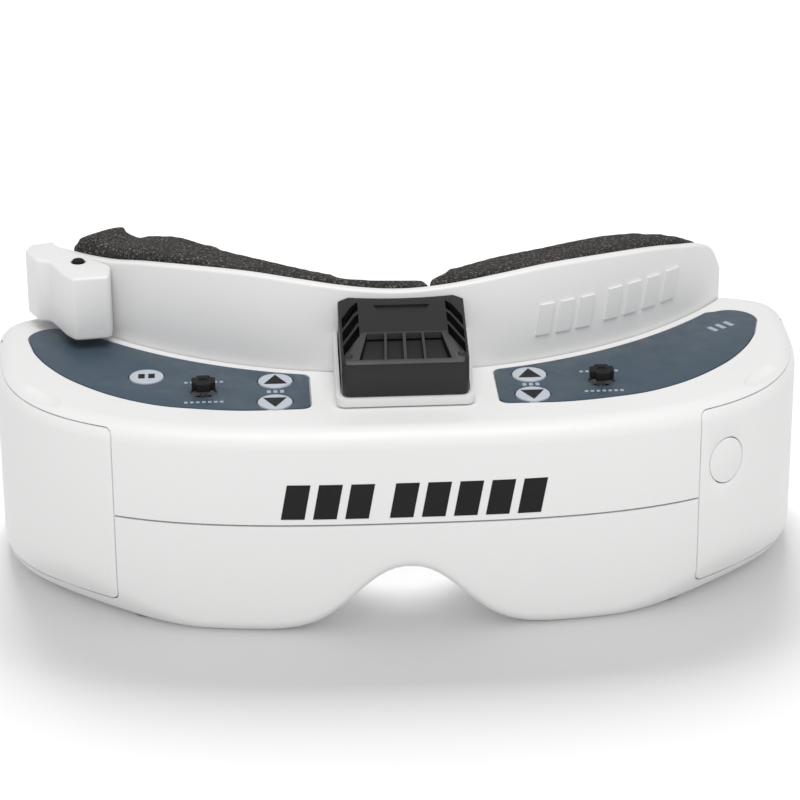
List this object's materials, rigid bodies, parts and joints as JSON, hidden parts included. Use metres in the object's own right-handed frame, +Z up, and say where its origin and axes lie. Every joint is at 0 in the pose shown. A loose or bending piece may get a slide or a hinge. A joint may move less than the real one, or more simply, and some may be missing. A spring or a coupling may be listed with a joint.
{
  "type": "video goggles",
  "caption": "White head-worn video goggles with a curved faceplate and foam, a top fan under a black louvred cover, control pads with buttons and sticks, and removable end covers.",
  "frame": {"origin": "middle of the bottom of the bounding box, on the surface that the body rests on", "axes": "+X from the left label to the right label, across the face; +Y back towards the wearer's face; +Z up"},
  "size_m": [0.1886, 0.0794, 0.0728],
  "materials": {
    "white_plastic": "white moulded plastic, satin, very fine grain",
    "black_plastic": "black moulded plastic, matt",
    "cover_plastic": "black moulded plastic, half gloss",
    "label_film": "slate blue printed film, satin",
    "button_plastic": "pale blue grey plastic, satin",
    "black_rubber": "black rubber, matt",
    "foam": "charcoal open-cell foam with paler cell walls",
    "lens_glass": "clear coated lens",
    "circuit_board": "green solder mask",
    "steel": "plain steel",
    "module_shield": "tinned sheet shield"
  },
  "bodies": {
    "root": {"top_shell": "white_plastic", "bottom_shell": "white_plastic", "faceplate": "white_plastic", "switch_housing": "white_plastic", "rear_frame": "black_plastic", "fan_frame": "black_plastic", "fan_switch_body": "black_plastic", "balance_socket": "black_plastic", "left_stick_switch": "black_plastic", "right_stick_switch": "black_plastic", "optics_chassis": "black_plastic", "dc_power_socket": "black_plastic", "av_socket": "black_plastic", "earphone_socket": "black_plastic", "fan_cover": "cover_plastic", "left_label": "label_film", "right_label": "label_film", "foam_left": "foam", "foam_right": "foam", "left_button_board": "circuit_board", "right_button_board": "circuit_board", "main_board": "circuit_board", "fan_bearing": "steel", "front_ipd_rail": "steel", "rear_ipd_rail": "steel", "video_input_socket": "steel", "card_socket": "steel", "front_left_shell_screw": "steel", "rear_left_shell_screw": "steel", "front_right_shell_screw": "steel", "rear_right_shell_screw": "steel", "receiver_module": "module_shield", "tracker_module": "module_shield"},
    "fan_rotor": {"fan_rotor": "black_plastic"},
    "volume_up_button": {"volume_up_button": "button_plastic"},
    "volume_down_button": {"volume_down_button": "button_plastic"},
    "channel_up_button": {"channel_up_button": "button_plastic"},
    "channel_down_button": {"channel_down_button": "button_plastic"},
    "head_tracker_button": {"head_tracker_button": "button_plastic"},
    "fan_switch_button": {"fan_switch_button": "black_rubber"},
    "left_stick_ring": {"left_stick_ring": "steel"},
    "left_stick_stem": {"left_stick_stem": "steel"},
    "left_stick_cap": {"left_stick_cap": "black_rubber"},
    "right_stick_ring": {"right_stick_ring": "steel"},
    "right_stick_stem": {"right_stick_stem": "steel"},
    "right_stick_cap": {"right_stick_cap": "black_rubber"},
    "left_bay_door": {"left_bay_door": "white_plastic"},
    "right_bay_door": {"right_bay_door": "white_plastic", "antenna_plug": "white_plastic"},
    "left_optic_module": {"left_optic_housing": "black_plastic", "left_display": "black_plastic", "left_lens": "lens_glass", "left_eyepiece_ring": "black_rubber", "left_ipd_slider": "black_plastic"},
    "right_optic_module": {"right_optic_housing": "black_plastic", "right_display": "black_plastic", "right_lens": "lens_glass", "right_eyepiece_ring": "black_rubber", "right_ipd_slider": "black_plastic"},
    "memory_card": {"memory_card": "black_plastic"}
  },
  "joints": [
    {"name": "volume_up_press", "type": "slide", "parent": "root", "child": "volume_up_button", "axis": [0, 0, -1], "range_m": [0, 0.0008], "stiffness_N_per_m": 500, "springref_m": -0.0004},
    {"name": "volume_down_press", "type": "slide", "parent": "root", "child": "volume_down_button", "axis": [0, 0, -1], "range_m": [0, 0.0008], "stiffness_N_per_m": 500, "springref_m": -0.0004},
    {"name": "channel_up_press", "type": "slide", "parent": "root", "child": "channel_up_button", "axis": [0, 0, -1], "range_m": [0, 0.0008], "stiffness_N_per_m": 500, "springref_m": -0.0004},
    {"name": "channel_down_press", "type": "slide", "parent": "root", "child": "channel_down_button", "axis": [0, 0, -1], "range_m": [0, 0.0008], "stiffness_N_per_m": 500, "springref_m": -0.0004},
    {"name": "head_tracker_press", "type": "slide", "parent": "root", "child": "head_tracker_button", "axis": [0, 0, -1], "range_m": [0, 0.0008], "stiffness_N_per_m": 500, "springref_m": -0.0004},
    {"name": "fan_switch_press", "type": "slide", "parent": "root", "child": "fan_switch_button", "axis": [0, 0, -1], "range_m": [0, 0.0006], "stiffness_N_per_m": 500, "springref_m": -0.0004},
    {"name": "left_stick_tilt_forward", "type": "hinge", "parent": "root", "child": "left_stick_ring", "pos_m": [-0.0455, -0.0151, 0.0455], "axis": [1, 0, 0], "range_deg": [-7, 7], "stiffness_Nm_per_rad": 0.02},
    {"name": "left_stick_tilt_sideways", "type": "hinge", "parent": "left_stick_ring", "child": "left_stick_stem", "pos_m": [-0.0455, -0.0151, 0.0455], "axis": [0, 1, 0], "range_deg": [-7, 7], "stiffness_Nm_per_rad": 0.02},
    {"name": "left_stick_press", "type": "slide", "parent": "left_stick_stem", "child": "left_stick_cap", "axis": [0, 0, -1], "range_m": [0, 0.0005], "stiffness_N_per_m": 600, "springref_m": -0.0003},
    {"name": "right_stick_tilt_forward", "type": "hinge", "parent": "root", "child": "right_stick_ring", "pos_m": [0.0455, -0.0151, 0.0455], "axis": [1, 0, 0], "range_deg": [-7, 7], "stiffness_Nm_per_rad": 0.02},
    {"name": "right_stick_tilt_sideways", "type": "hinge", "parent": "right_stick_ring", "child": "right_stick_stem", "pos_m": [0.0455, -0.0151, 0.0455], "axis": [0, 1, 0], "range_deg": [-7, 7], "stiffness_Nm_per_rad": 0.02},
    {"name": "right_stick_press", "type": "slide", "parent": "right_stick_stem", "child": "right_stick_cap", "axis": [0, 0, -1], "range_m": [0, 0.0005], "stiffness_N_per_m": 600, "springref_m": -0.0003},
    {"name": "fan_spin", "type": "hinge", "parent": "root", "child": "fan_rotor", "pos_m": [0, -0.0156, 0.0545], "axis": [0, 0, 1], "continuous": true},
    {"name": "left_bay_door_pull", "type": "slide", "parent": "root", "child": "left_bay_door", "axis": [-0.766, -0.6428, 0], "range_m": [0, 0.025]},
    {"name": "right_bay_door_pull", "type": "slide", "parent": "root", "child": "right_bay_door", "axis": [0.766, -0.6428, 0], "range_m": [0, 0.025]},
    {"name": "left_eye_spacing_slide", "type": "slide", "parent": "root", "child": "left_optic_module", "axis": [1, 0, 0], "range_m": [-0.0025, 0.0025]},
    {"name": "right_eye_spacing_slide", "type": "slide", "parent": "root", "child": "right_optic_module", "axis": [1, 0, 0], "range_m": [-0.0025, 0.0025]},
    {"name": "memory_card_pull", "type": "slide", "parent": "root", "child": "memory_card", "axis": [0, 0, -1], "range_m": [0, 0.016]}
  ]
}
